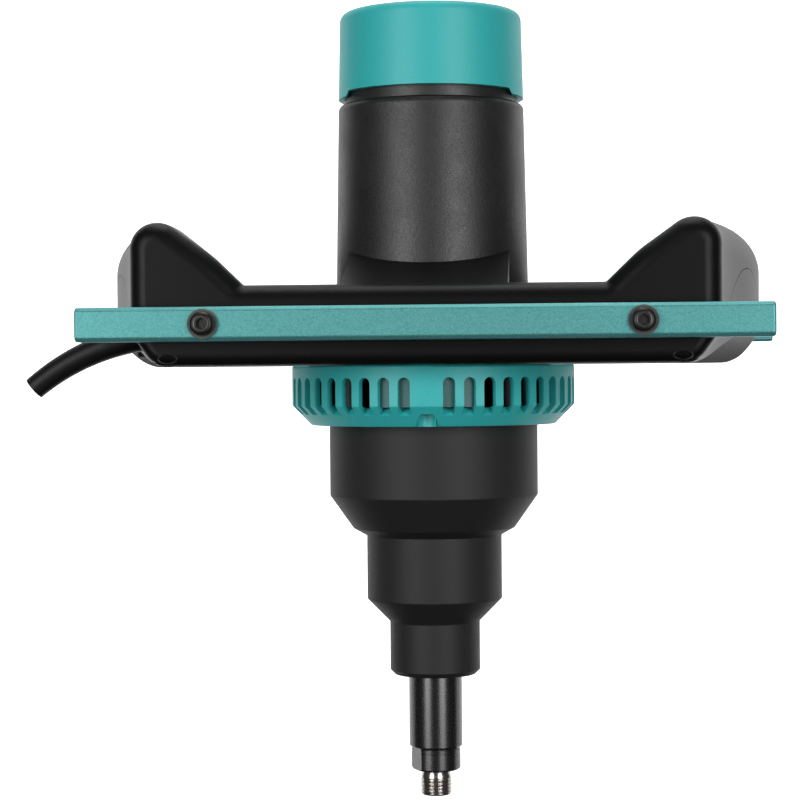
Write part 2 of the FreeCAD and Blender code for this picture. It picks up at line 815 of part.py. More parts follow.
for side in (1, -1):
    turn = f"{side} * slot_gap_angle / 2"
    slot = extrude(
        vent_ring, "Pocket", "XZ_Plane", f"{SLOT_START} * cos({turn} * 1 deg)",
        "ring_radius - ring_bottom_radius + 2 * ring_wall",
        outline_of([
            ("-slot_width / 2", SLOT_FOOT),
            ("slot_width / 2", SLOT_FOOT),
            ("slot_width / 2", f"{RING_FOOT} + slot_top", "slot_top_rounding"),
            ("-slot_width / 2", f"{RING_FOOT} + slot_top", "slot_top_rounding"),
        ]),
        reverse=True,
    )
    floor = extrude(
        vent_ring, "Pocket", "YZ_Plane", "0", "slot_width",
        outline_of([
            ("-slot_floor_start", SLOT_FOOT),
            ("-ring_radius", f"{SLOT_FOOT} - (ring_radius - slot_floor_start)"),
            ("-ring_radius", SLOT_FOOT),
        ]),
        symmetric=True,
    )
    for cut in (slot, floor):
        face = cut.Profile[0]
        face.AttachmentOffset = FreeCAD.Placement(
            FreeCAD.Vector(), FreeCAD.Rotation(FreeCAD.Vector(0, side, 0), 1)
        )
        bind(face, ".AttachmentOffset.Rotation.Angle", "slot_gap_angle / 2")
    bind(slot.Profile[0], ".AttachmentOffset.Base.x", f"{SLOT_START} * sin({turn} * 1 deg)")
    row = polar_pattern(vent_ring, [slot, floor], "slots_per_side")
    bind(row, "Angle", "180 - slot_gap_angle")
    row.Reversed = side < 0
holes(vent_ring, RING_SCREWS, "ring_notch_radius", RING_FOOT, "ring_notch_height", upward=True)
holes(
    vent_ring, RING_SCREWS, "ring_screw_head_radius + running_clearance", RING_FOOT,
    "ring_notch_height + ring_screw_head_height", upward=True,
)
holes(
    vent_ring, RING_SCREWS, "ring_screw_radius + running_clearance", RING_FOOT, "ring_height", upward=True,
)
screws(
    "ring_screws", RING_SCREWS, "ring_screw_head_radius",
    f"{RING_FOOT} + ring_notch_height + ring_screw_head_height",
    "ring_screw_head_height", "ring_screw_radius - fit_clearance",
    "ring_height - ring_lift - ring_notch_height - ring_screw_head_height + ring_screw_grip - gear_gap / 2",
    upward=True,
)

# Motor housing: a moulded tube on a flange, with a spider for the top bearing
motor_housing = turned(
    "motor_housing",
    [
        ("motor_bore_radius", RING_TOP),
        ("plate_flange_radius", RING_TOP),
        ("plate_flange_radius", f"{RING_TOP} + motor_flange_height"),
        ("motor_low_radius", f"{RING_TOP} + motor_flange_height"),
        ("motor_low_radius", BEAM_TOP),
        ("motor_high_radius", "motor_top", "motor_rim_rounding"),
        ("motor_neck_radius", "motor_top"),
        ("motor_neck_radius", "motor_top + motor_neck_height"),
        ("motor_neck_bore", "motor_top + motor_neck_height"),
        ("motor_neck_bore", TOP_BEARING_FOOT),
        ("spider_hub_radius", TOP_BEARING_FOOT),
        ("spider_hub_radius", f"{TOP_BEARING_FOOT} + top_bearing_height"),
        ("top_bearing_radius", f"{TOP_BEARING_FOOT} + top_bearing_height"),
        ("top_bearing_radius", TOP_BEARING_FOOT),
        ("shaft_top_radius + nose_mouth_clearance", TOP_BEARING_FOOT),
        ("shaft_top_radius + nose_mouth_clearance", SPIDER_FOOT),
        ("motor_bore_radius", SPIDER_FOOT),
    ],
)
window = extrude(
    motor_housing, "Pocket", "XY_Plane", TOP_BEARING_FOOT, "spider_height",
    outline_of(block(
        "spider_hub_radius + holder_wall", "-spider_window_width / 2",
        "motor_neck_bore - holder_wall", "spider_window_width / 2", "holder_wall",
    )),
)
polar_pattern(motor_housing, [window], "spider_windows")
holes(motor_housing, POSTS, "motor_screw_radius + running_clearance",
      f"{RING_TOP} + motor_flange_height", "motor_flange_height")
screws(
    "motor_screws", POSTS, "motor_screw_head_radius", f"{RING_TOP} + motor_flange_height",
    "motor_screw_head_height", "motor_screw_radius - fit_clearance",
    "motor_flange_height + motor_screw_grip - gear_gap / 2", upward=False,
)
ball_bearing(
    "motor_top_bearing", "shaft_top_radius", "top_bearing_radius",
    "top_bearing_height", TOP_BEARING_FOOT,
)

# Cap: sits on the neck of the motor housing, its edge raised front and rear for the air
CAP_FOOT = "motor_top + cap_foot"
CAP_TOP = f"{CAP_FOOT} + cap_height"
top_cap = turned(
    "top_cap",
    [
        ("motor_neck_radius + hub_clearance", CAP_FOOT),
        ("cap_low_radius", CAP_FOOT),
        ("cap_high_radius", CAP_TOP, "cap_rounding"),
        ("0", CAP_TOP),
        ("0", f"{CAP_TOP} - cap_wall"),
        ("motor_neck_bore + cap_wall / 2", f"{CAP_TOP} - cap_wall", "cap_wall"),
        ("motor_neck_bore + cap_wall / 2", "motor_top + motor_neck_height"),
        ("motor_neck_radius + hub_clearance", "motor_top + motor_neck_height"),
    ],
)
extrude(
    top_cap, "Pocket", "XZ_Plane", "0", "3 * cap_low_radius",
    outline_of([
        ("-air_slot_width / 2 - air_slot_height", f"{CAP_FOOT} - air_slot_height"),
        ("air_slot_width / 2 + air_slot_height", f"{CAP_FOOT} - air_slot_height"),
        ("air_slot_width / 2", f"{CAP_FOOT} + air_slot_height"),
        ("-air_slot_width / 2", f"{CAP_FOOT} + air_slot_height"),
    ]),
    symmetric=True,
)

# Stator: a stack of laminations with the ends of the field coils above and below it
STATOR_TOP = "stator_foot + stator_height"
turned("stator_core", block("stator_bore", "stator_foot", "motor_bore_radius - fit_clearance", STATOR_TOP))
field_coils = new_body("field_coils")
for foot in ("stator_foot - field_coil_height", STATOR_TOP):
    revolve(field_coils, block(
        "field_coil_inner", foot, "field_coil_outer", f"{foot} + field_coil_height", "coil_rounding"
    ))

# Armature: shaft with its pinion, slotted core, coil ends, commutator and fan
motor_pinion = lifted(
    toothed_disc(
        "motor_pinion_teeth", "pinion_shift", number("pinion_addendum"),
        number("layshaft_gear_height + gear_gap"), towards_layshaft + half_pitch_motor,
    ),
    f"{LAYSHAFT_GEAR_FOOT} - gear_gap / 2",
)
motor_rod = drum("shaft_radius", f"{LAYSHAFT_GEAR_TOP} + gear_gap / 2", SPIDER_FOOT + " - gear_gap / 2")
motor_tip = drum(
    "shaft_top_radius", SPIDER_FOOT + " - gear_gap / 2", f"{TOP_BEARING_FOOT} + top_bearing_height",
)
gear_piece("armature_shaft", motor_rod.fuse([motor_pinion, motor_tip]).removeSplitter())
ON_SHAFT = "shaft_radius + fit_clearance"
armature_core = turned("armature_core", block(ON_SHAFT, "stator_foot", "rotor_radius", STATOR_TOP))
core_slot = extrude(
    armature_core, "Pocket", "XY_Plane", "stator_foot", "stator_height",
    outline_of(block(
        "rotor_radius - rotor_slot_depth", "-rotor_slot_width / 2",
        "rotor_radius + rotor_slot_width", "rotor_slot_width / 2",
    )),
    reverse=True,
)
polar_pattern(armature_core, [core_slot], "rotor_slots")
armature_coils = new_body("armature_coils")
for foot in ("stator_foot - rotor_coil_height", STATOR_TOP):
    revolve(armature_coils, block(
        ON_SHAFT, foot, "rotor_coil_radius", f"{foot} + rotor_coil_height", "coil_rounding"
    ))
turned("commutator", block(
    ON_SHAFT, "commutator_foot", "commutator_radius", "commutator_foot + commutator_height"
))
fan = turned(
    "cooling_fan",
    [
        (ON_SHAFT, "fan_foot"), ("fan_radius", "fan_foot"), ("fan_radius", "fan_foot + fan_plate"),
        ("fan_hub_radius", "fan_foot + fan_plate"), ("fan_hub_radius", "fan_foot + fan_height"),
        (ON_SHAFT, "fan_foot + fan_height"),
    ],
)
blade = extrude(
    fan, "Pad", "XY_Plane", "fan_foot", "fan_height",
    outline_of(block(
        "fan_hub_radius - fan_blade_width", "-fan_blade_width / 2", "fan_radius", "fan_blade_width / 2"
    )),
)
polar_pattern(fan, [blade], "fan_blades")

# Brush gear: a carbon on each side of the commutator, in a brass box on the housing wall
BRUSH_LEVEL = "commutator_foot + commutator_height / 2"


def brush_section(extra):
    half_width, half_height = f"(brush_width / 2 + {extra})", f"(brush_height / 2 + {extra})"
    return block(
        f"-{half_width}", f"{BRUSH_LEVEL} - {half_height}", half_width, f"{BRUSH_LEVEL} + {half_height}"
    )


brushes = new_body("carbon_brushes")
carbon = extrude(
    brushes, "Pad", "YZ_Plane", "commutator_radius + brush_gap", "brush_length",
    outline_of(brush_section("0")),
)
mirror(brushes, [carbon], "YZ_Plane")
holders = new_body("brush_holders")


def holder_walls(sketch):
    draw_outline(sketch, brush_section("holder_wall"))
    draw_outline(sketch, brush_section("running_clearance"))


box = extrude(
    holders, "Pad", "YZ_Plane", "holder_start",
    "motor_bore_radius - holder_wall / 4 - holder_start", holder_walls,
)
mirror(holders, [box], "YZ_Plane")

# Neck screws, from the floor of the gear case into the neck, and the ring that keeps the gear
NECK_SCREWS = [on_ring("neck_screw_ring_radius", angle) for angle in (15, 165, 235, 305)]
holes(gear_case, NECK_SCREWS, "plate_screw_radius + running_clearance", CASE_FLOOR, "case_floor")
holes(neck, NECK_SCREWS, "plate_screw_radius", NECK_TOP, "neck_screw_grip")
screws(
    "neck_screws", NECK_SCREWS, "plate_screw_head_radius", CASE_FLOOR, "plate_screw_head_height",
    "plate_screw_radius - fit_clearance", "case_floor + neck_screw_grip - gear_gap / 2", upward=False,
)
turned("spindle_circlip", block(
    "spindle_gear_seat_radius + fit_clearance", SPINDLE_GEAR_TOP,
    "spindle_gear_hub_radius", f"{SPINDLE_GEAR_TOP} + gear_gap / 2",
))


# Handle frame: sections of its outline at the rear face, the widest place, the waist of the
# grips and the front face
STATIONS = {
    "rear": FRONT,
    "middle": "handle_middle_place",
    "waist": "handle_waist_place",
    "front": f"-{FRONT}",
}


def upper_section(station):
    width, crest = f"handle_{station}_width", f"grip_{station}_crest"
    top = f"{GRIP_TOP} - grip_{station}_drop"
    return mirrored_corners([
        (width, SPLIT),
        (width, top, f"grip_{station}_rounding"),
        (crest, top, "grip_crest_rounding"),
        (f"{crest} - grip_bend_run", f"{BEAM_TOP} + grip_bend_rise", "grip_bend_rounding"),
        (f"{crest} - grip_foot_run", BEAM_TOP, "grip_foot_rounding"),
    ])


def lower_section(station):
    width = f"handle_{station}_width"
    return mirrored_corners([
        (width, BEAM_TOP),
        (width, f"{RING_TOP} + low_side_height", "low_side_rounding"),
        (f"{width} - low_side_run", RING_TOP, "low_side_rounding"),
    ])


def side_walls(extra):
    """Sections with straight sides, at a distance from the sides of the frame."""
    def section(station):
        side = f"handle_{station}_width + {extra}"
        return block(f"-({side})", SPLIT, side, f"{GRIP_TOP} + grip_height")

    return section


def loft(body, kind, section):
    """A solid, added or cut away, through the sections of the frame from rear to front."""
    sketches = []
    for station, place in STATIONS.items():
        sketch = new_sketch(body, "section", "XZ_Plane", f"-({place})")
        draw_outline(sketch, section(station))
        sketches.append(sketch)
    through = body.newObject(f"PartDesign::{kind}Loft", "loft")
    through.Profile = sketches[0]
    through.Sections = sketches[1:]
    return through


def on_end_faces(open_level):
    """Picks the edges of the front and rear face, other than those at one level."""
    def picked(edge):
        ends = [vertex.Y for vertex in edge.Vertexes]
        middle = edge.valueAt((edge.FirstParameter + edge.LastParameter) / 2)
        flat = all(abs(abs(y) - number(FRONT)) < 0.01 for y in ends + [middle.y])
        return flat and abs(middle.z - number(open_level)) > 0.01

    return picked


SPLIT_HOLES = [("bolt_spacing / 2", SPLIT), ("-bolt_spacing / 2", SPLIT)]
SHELL_SCREWS = [
    (f"{side}shell_screw_{end}", f"{sign}({FRONT} - shell_screw_inset)")
    for end, sign in (("front", "-"), ("rear", "")) for side in ("", "-")
]


def finger_openings(body):
    opening = extrude(
        body, "Pocket", "XY_Plane", SPLIT, "4 * grip_height",
        outline_of(block(
            "finger_inner", "-finger_length / 2", "finger_outer", "finger_length / 2", "finger_rounding"
        )),
        symmetric=True,
    )
    mirror(body, [opening], "YZ_Plane")


def on_finger_rims(edge):
    """Picks the edges round the upper mouths of the finger openings."""
    reach = 0.01
    box = edge.BoundBox
    inner, outer = sorted((abs(box.XMin), abs(box.XMax)))
    inside = inner > number("finger_inner") - reach and outer < number("finger_outer") + reach
    return inside and box.YLength < number("finger_length") and box.ZMin > number(SPLIT) + reach


def insert_pockets(body):
    for sign, rear in (("", False), ("-", True)):
        extrude(
            body, "Pocket", "XZ_Plane", f"{sign}{FRONT}", "insert_length",
            circles_of(*[(x, z, "insert_radius + fit_clearance") for x, z in SPLIT_HOLES]), reverse=rear,
        )


def hub_bore(body):
    extrude(
        body, "Pocket", "XY_Plane", SPLIT, "4 * grip_height",
        circles_of(("0", "0", "motor_low_radius + hub_clearance")), symmetric=True,
    )


# Upper shell: two domed grips joined by beams, with a ramp up to the motor front and rear
upper = new_body("upper_moulding")
loft(upper, "Additive", upper_section)
round_edges(upper, "face_rounding", on_end_faces(SPLIT))
for sign in ("-", ""):
    extrude(
        upper, "Pad", "YZ_Plane", "0", "saddle_width",
        outline_of([
            (f"{sign}({FRONT} - face_rounding)", f"{BEAM_TOP} - face_rounding"),
            (f"{sign}({FRONT} - face_rounding)", BEAM_TOP),
            (f"{sign}saddle_back", f"{BEAM_TOP} + saddle_rise"),
            (f"{sign}saddle_back", f"{BEAM_TOP} - face_rounding"),
        ]),
        symmetric=True,
    )
finger_openings(upper)
round_edges(upper, "finger_rim_rounding", on_finger_rims)
hub_bore(upper)
cavity = extrude(
    upper, "Pocket", "XY_Plane", SPLIT, "grip_cavity_height",
    outline_of(block(
        "grip_cavity_inner", "-grip_cavity_length / 2", "grip_cavity_outer", "grip_cavity_length / 2",
        "cavity_rounding",
    )),
    reverse=True,
)
mirror(upper, [cavity], "YZ_Plane")
beam_hollow = extrude(
    upper, "Pocket", "XY_Plane", SPLIT, "beam_cavity_height",
    outline_of(block(
        "-beam_cavity_width / 2", f"{FRONT} - face_rounding - beam_cavity_depth",
        "beam_cavity_width / 2", f"{FRONT} - face_rounding", "cavity_rounding",
    )),
    reverse=True,
)
mirror(upper, [beam_hollow], "XZ_Plane")
insert_pockets(upper)
holes(upper, SHELL_SCREWS, "shell_screw_radius", SPLIT, "shell_screw_length", upward=True)
LOCK_LEVEL = f"{SPLIT} + lock_button_rise"
extrude(
    upper, "Pocket", "YZ_Plane", "-(finger_outer - lock_button_collar)",
    "grip_cavity_inner - finger_outer + 2 * lock_button_collar",
    circles_of(("lock_button_place", LOCK_LEVEL, "lock_button_radius + hub_clearance")),
)

# Lower shell: closes the grips from below, seats on the vent ring and the motor flange
lower = new_body("lower_moulding")
loft(lower, "Additive", lower_section)
round_edges(lower, "low_face_rounding", on_end_faces(BEAM_TOP))
extrude(
    lower, "Pocket", "XY_Plane", SPLIT, "2 * handle_beam_height",
    outline_of(block(
        "-2 * handle_middle_width", "-handle_depth", "2 * handle_middle_width", "handle_depth",
    )),
    reverse=True,
)
finger_openings(lower)
hub_bore(lower)
holes(
    lower, [("0", "0")], "plate_flange_radius + hub_clearance", RING_TOP,
    "motor_flange_height + motor_screw_head_height + hub_clearance", upward=True,
)
arch = extrude(
    lower, "Pocket", "YZ_Plane", "arch_inner", "handle_middle_width",
    outline_of([
        ("-arch_length / 2", RING_TOP), ("arch_length / 2", RING_TOP),
        ("0", f"{RING_TOP} + arch_peak", "arch_rounding"),
    ]),
    reverse=True,
)
mirror(lower, [arch], "YZ_Plane")
insert_pockets(lower)
holes(lower, SHELL_SCREWS, "shell_recess_radius", RING_TOP, "shell_recess_depth", upward=True)
holes(
    lower, SHELL_SCREWS, "shell_screw_radius + running_clearance", RING_TOP, "handle_low_height",
    upward=True,
)
holes(lower, RING_SCREWS, "ring_screw_radius", RING_TOP, "ring_screw_grip", upward=True)
extrude(
    lower, "Pocket", "XY_Plane", SPLIT, "handle_low_height",
    outline_of(block(
        "switch_place - trigger_width / 2 - trigger_gap",
        "trigger_place - trigger_length / 2 - trigger_gap",
        "switch_place + trigger_width / 2 + trigger_gap",
        "trigger_place + trigger_length / 2 + trigger_gap",
    )),
)
extrude(
    lower, "Pocket", "XY_Plane", SPLIT, "wire_channel_depth",
    outline_of(block(
        "-sleeve_inner_end - wire_channel_width / 2", f"{SLEEVE_PLACE} - wire_channel_width / 2",
        "-sleeve_inner_end + wire_channel_width / 2", "-grip_cavity_length / 2 + wire_channel_width / 2",
    )),
)
screws(
    "shell_screws", SHELL_SCREWS, "shell_screw_head_radius", f"{RING_TOP} + shell_recess_depth",
    "shell_screw_head_height", "shell_screw_radius - fit_clearance", "shell_screw_length", upward=True,
)


# Bend-relief sleeve: a tapered tube along an arc that leaves the grip and turns downwards
def tapered_bend(first, last, extra):
    """The solid of the sleeve's outside, from one angle of its bend to another."""
    rings = []
    steps = 8
    for step in range(steps + 1):
        part_way = step / steps
        angle = math.radians(first + (last - first) * part_way)
        radius = number("sleeve_start_radius") + extra
        radius += (number("sleeve_end_radius") - number("sleeve_start_radius")) * part_way
        along = FreeCAD.Vector(-math.cos(angle), 0, -math.sin(angle))
        place = FreeCAD.Vector(
            -number("sleeve_bend_start") - number("sleeve_bend_radius") * math.sin(angle),
            number(SLEEVE_PLACE),
            number(f"{RING_TOP} + sleeve_rise") - number("sleeve_bend_radius") * (1 - math.cos(angle)),
        )
        rings.append(Part.Wire(Part.makeCircle(radius, place, along)))
    return Part.makeLoft(rings, True)


sleeve_from = math.degrees(math.asin(number("(sleeve_inner_end - sleeve_bend_start) / sleeve_bend_radius")))
sleeve_to = number("sleeve_bend")
sleeve_wall = number("sleeve_bore - sleeve_start_radius")
overrun = number("sleeve_bore_overrun")
sleeve = doc.addObject("Part::Feature", "cable_sleeve")
sleeve.Shape = tapered_bend(sleeve_from, sleeve_to, 0).cut(
    tapered_bend(sleeve_from - overrun, sleeve_to + overrun, sleeve_wall)
)
sleeve_hole = doc.addObject("Part::Feature", "sleeve_hole")
sleeve_hole.Shape = tapered_bend(sleeve_from, sleeve_to, number("hub_clearance"))


# Side covers: oval inlays let into the outer sides of the grips
def side_skin(label, outer, depth, gap, side):
    """The skin of the frame inside an oval, on one side of it."""
    body = new_body(label)
    loft(body, "Additive", outer)
    loft(body, "Subtractive", side_walls(f"-{depth}"))
    middle = f"{SPLIT} + cover_rise"
    tip, crown = f"cover_length / 2 + {gap}", f"cover_height / 2 + {gap}"

    def surround(sketch):
        draw_outline(sketch, block("-handle_depth", "0", "handle_depth", f"2 * ({GRIP_TOP})"))
        draw_outline(sketch, [
            (f"cover_place + {tip}", middle, "cover_tip_rounding"),
            ("cover_place", f"{middle} + {crown}", "cover_crown_rounding"),
            (f"cover_place - ({tip})", middle, "cover_tip_rounding"),
            ("cover_place", f"{middle} - ({crown})", "cover_crown_rounding"),
        ])

    extrude(body, "Pocket", "YZ_Plane", "0", "4 * handle_middle_width", surround, symmetric=True)
    extrude(
        body, "Pocket", "YZ_Plane", "0", "2 * handle_middle_width",
        outline_of(block("-handle_depth", "0", "handle_depth", f"2 * ({GRIP_TOP})")),
        reverse=side < 0,
    )
    return body


recesses = []
for name, side in (("left", -1), ("right", 1)):
    side_skin(f"side_cover_{name}", upper_section, "cover_thickness", "0", side)
    recesses.append(side_skin(
        f"recess_{name}", side_walls("cover_thickness"), "cover_thickness", "cover_gap", side
    ))


def shell(label, moulding, tools):
    cutters = doc.addObject("Part::Compound", f"{label}_cutters")
    cutters.Links = tools
    finished = doc.addObject("Part::Cut", label)
    finished.Base = moulding
    finished.Tool = cutters
    return finished


shell("handle_upper_shell", upper, recesses + [sleeve_hole])
shell("handle_lower_shell", lower, [sleeve_hole])


# Switch, with a trigger that slides up into it and a button that locks it
switch = new_body("switch_body")
extrude(
    switch, "Pad", "XY_Plane", f"{SPLIT} + switch_foot", "switch_height",
    outline_of(block(
        "switch_place - switch_width / 2", "trigger_place - switch_length / 2",
        "switch_place + switch_width / 2", "trigger_place + switch_length / 2",
    )),
)
extrude(
    switch, "Pocket", "XY_Plane", f"{SPLIT} + switch_foot", "switch_well",
    outline_of(block(
        "switch_place - trigger_stem_width / 2 - trigger_gap",
        "trigger_place - trigger_stem_length / 2 - trigger_gap",
        "switch_place + trigger_stem_width / 2 + trigger_gap",
        "trigger_place + trigger_stem_length / 2 + trigger_gap",
    )),
    reverse=True,
)
trigger = new_body("trigger")
TRIGGER_TOP = f"{SPLIT} + trigger_top"
TRIGGER_FOOT = f"{RING_TOP} + trigger_foot"
extrude(
    trigger, "Pad", "YZ_Plane", "switch_place", "trigger_width",
    outline_of([
        ("trigger_place - trigger_length / 2", TRIGGER_FOOT, "trigger_rounding"),
        ("trigger_place + trigger_length / 2", TRIGGER_FOOT, "trigger_rounding"),
        ("trigger_place + trigger_length / 2", TRIGGER_TOP),
        ("trigger_place - trigger_length / 2", TRIGGER_TOP),
    ]),
    symmetric=True,
)
extrude(
    trigger, "Pad", "XY_Plane", TRIGGER_TOP, "switch_foot - trigger_top + trigger_stem_entry",
    outline_of(block(
        "switch_place - trigger_stem_width / 2", "trigger_place - trigger_stem_length / 2",
        "switch_place + trigger_stem_width / 2", "trigger_place + trigger_stem_length / 2",
    )),
)
lock_button = new_body("lock_button")
LOCK_CENTRE = ("lock_button_place", LOCK_LEVEL)
extrude(
    lock_button, "Pad", "YZ_Plane", "-(finger_outer - lock_button_reach)",
    "grip_cavity_inner - finger_outer + lock_button_reach + lock_button_collar",
    circles_of(LOCK_CENTRE + ("lock_button_radius",)), reverse=True,
)
round_edges(
    lock_button, "lock_button_rim",
    lambda edge: edge.Closed and edge.BoundBox.XMin > -number("finger_outer"),
)
extrude(
    lock_button, "Pad", "YZ_Plane", "-(grip_cavity_inner + trigger_gap)",
    "lock_button_collar - trigger_gap",
    circles_of(LOCK_CENTRE + ("lock_button_radius + lock_button_rim",)), reverse=True,
)


# Guard bars, each held by two bolts into threaded inserts between the shells
BAR_FACE = f"{FRONT} + bar_thickness"


def guard_bar(label, sign, length):
    bar = new_body(label)
    extrude(
        bar, "Pad", "YZ_Plane", "0", length,
        outline_of([
            (f"{sign}({FRONT})", f"{SPLIT} - bar_height / 2"),
            (f"{sign}({FRONT})", f"{SPLIT} + bar_height / 2"),
            (f"{sign}({BAR_FACE} - bar_bevel)", f"{SPLIT} + bar_height / 2"),
            (f"{sign}({BAR_FACE})", f"{SPLIT} + bar_height / 2 - bar_bevel"),
            (f"{sign}({BAR_FACE})", f"{SPLIT} - bar_height / 2 + bar_bevel"),
            (f"{sign}({BAR_FACE} - bar_bevel)", f"{SPLIT} - bar_height / 2"),
        ]),
        symmetric=True,
    )
    extrude(
        bar, "Pocket", "XZ_Plane", "0", "4 * handle_depth",
        circles_of(*[(x, z, "bolt_radius + trigger_gap") for x, z in SPLIT_HOLES]), symmetric=True,
    )
    tip = number(f"{length} / 2")
    round_edges(
        bar, "bar_end_rounding",
        lambda edge: all(abs(abs(vertex.X) - tip) < 0.01 for vertex in edge.Vertexes),
    )
    return bar


def beside(body, corners):
    """Turn a half section in the split plane about the line of the right-hand bolt."""
    sketch = new_sketch(body, "half_section", "XY_Plane", SPLIT)
    line = sketch.addGeometry(Part.LineSegment(FreeCAD.Vector(), FreeCAD.Vector(0, 1, 0)), True)
    place_point(sketch, line, 1, "bolt_spacing / 2", "0")
    place_point(sketch, line, 2, "bolt_spacing / 2", "bolt_length")
    draw_outline(sketch, [(f"bolt_spacing / 2 + {c[0]}",) + tuple(c[1:]) for c in corners])
    turn = body.newObject("PartDesign::Revolution", "turn")
    turn.Profile = sketch
    turn.ReferenceAxis = (sketch, ["Axis0"])
    turn.Angle = 360
    return turn


guard_bar("front_bar", "-", "front_bar_length")
guard_bar("rear_bar", "", "rear_bar_length")
bolts, washers, inserts = [new_body(f"bar_{name}") for name in ("bolts", "washers", "inserts")]
HEAD_FOOT = f"{BAR_FACE} + washer_height"
HEAD_TOP = f"{HEAD_FOOT} + bolt_head_height"
SOCKET = [
    ("bolt_socket_flats / 2", "bolt_socket_flats / sqrt(12)"), ("0", "bolt_socket_flats / sqrt(3)"),
    ("-bolt_socket_flats / 2", "bolt_socket_flats / sqrt(12)"),
    ("-bolt_socket_flats / 2", "-bolt_socket_flats / sqrt(12)"), ("0", "-bolt_socket_flats / sqrt(3)"),
    ("bolt_socket_flats / 2", "-bolt_socket_flats / sqrt(12)"),
]
for sign, rear in (("-", False), ("", True)):
    turn = beside(bolts, [
        ("0", f"{sign}({HEAD_TOP})"),
        ("bolt_head_radius", f"{sign}({HEAD_TOP})", "bolt_head_rounding"),
        ("bolt_head_radius", f"{sign}({HEAD_FOOT})"),
        ("bolt_radius - fit_clearance", f"{sign}({HEAD_FOOT})"),
        ("bolt_radius - fit_clearance", f"{sign}({HEAD_FOOT} - bolt_length)"),
        ("0", f"{sign}({HEAD_FOOT} - bolt_length)"),
    ])
    socket = extrude(
        bolts, "Pocket", "XZ_Plane", f"{'-' if rear else ''}({HEAD_TOP})", "bolt_socket_depth",
        outline_of([(f"bolt_spacing / 2 + {x}", f"{SPLIT} + {z}") for x, z in SOCKET]), reverse=rear,
    )
    mirror(bolts, [turn, socket], "YZ_Plane")
    washer = beside(washers, block(
        "bolt_radius + fit_clearance", f"{sign}({BAR_FACE})", "washer_radius", f"{sign}({HEAD_FOOT})"
    ))
    mirror(washers, [washer], "YZ_Plane")
    tube = beside(inserts, block(
        "bolt_radius", f"{sign}({FRONT} - insert_length)", "insert_radius", f"{sign}({FRONT})"
    ))
    mirror(inserts, [tube], "YZ_Plane")

doc.recompute()
PIECES = [
    thing for thing in doc.Objects
    if thing.TypeId in ("PartDesign::Body", "Part::Feature", "Part::Cut") and not thing.InList
]
failed = [thing.Name for thing in doc.Objects if {"Invalid", "Error"} & set(thing.State)]
for piece in PIECES:
    if piece.Shape.isNull() or not piece.Shape.isValid():
        failed.append(piece.Label)
if failed:
    raise RuntimeError("not built: " + ", ".join(failed))
os.makedirs("parts", exist_ok=True)
for piece in PIECES:
    piece.Shape.exportStep(f"parts/{piece.Label}.step")
    print(piece.Label, len(piece.Shape.Solids), round(piece.Shape.Volume / 1000, 2))
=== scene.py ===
import math

import bpy
import numpy as np
from mathutils import Matrix, Vector


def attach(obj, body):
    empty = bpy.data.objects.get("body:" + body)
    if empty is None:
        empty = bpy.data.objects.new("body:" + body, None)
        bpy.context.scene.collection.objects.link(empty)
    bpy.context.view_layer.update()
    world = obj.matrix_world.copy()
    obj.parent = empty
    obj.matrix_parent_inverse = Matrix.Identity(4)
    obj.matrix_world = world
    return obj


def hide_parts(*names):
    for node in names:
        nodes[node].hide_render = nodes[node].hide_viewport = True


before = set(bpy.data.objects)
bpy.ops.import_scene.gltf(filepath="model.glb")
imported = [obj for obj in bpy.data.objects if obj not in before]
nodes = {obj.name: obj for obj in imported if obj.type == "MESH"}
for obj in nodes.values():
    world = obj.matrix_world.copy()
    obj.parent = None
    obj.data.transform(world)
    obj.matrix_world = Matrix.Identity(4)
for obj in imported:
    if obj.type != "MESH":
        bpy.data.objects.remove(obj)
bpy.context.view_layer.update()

# Spindle neck, gear case and the plate between motor and gears: aluminium die castings, screwed
# together in one line and sprayed with a matte charcoal coat that shows a fine even grain. The real
# grain is finer than the 0.45 mm that a pixel covers, so this one and those below are drawn coarser.
MM = 0.001


def linear(code):
    """sRGB hex to linear RGBA: the sRGB transfer curve undone, channel by channel."""
    channels = [int(code[i : i + 2], 16) / 255 for i in (1, 3, 5)]
    return [c / 12.92 if c <= 0.04045 else ((c + 0.055) / 1.055) ** 2.4 for c in channels] + [1.0]


def new_finish(name, **values):
    """A material with a principled shader; values are the sockets that stay the same all over."""
    finish = bpy.data.materials.new(name)
    finish.use_nodes = True
    tree = finish.node_tree
    shader = next(node for node in tree.nodes if node.type == "BSDF_PRINCIPLED")
    for socket, value in values.items():
        shader.inputs[socket.replace("_", " ")].default_value = value
    return finish, tree, shader


def add(tree, kind, settings=None, **inputs):
    """Add a node: settings are its properties, inputs a value or the socket that feeds it. An input is
    named for its socket, or i0, i1 and so on for its place."""
    node = tree.nodes.new(kind)
    for name, value in (settings or {}).items():
        setattr(node, name, value)
    for name, value in inputs.items():
        socket = node.inputs[int(name[1:]) if name[1:].isdigit() else name.replace("_", " ")]
        if isinstance(value, bpy.types.NodeSocket):
            tree.links.new(value, socket)
        else:
            socket.default_value = value
    return node


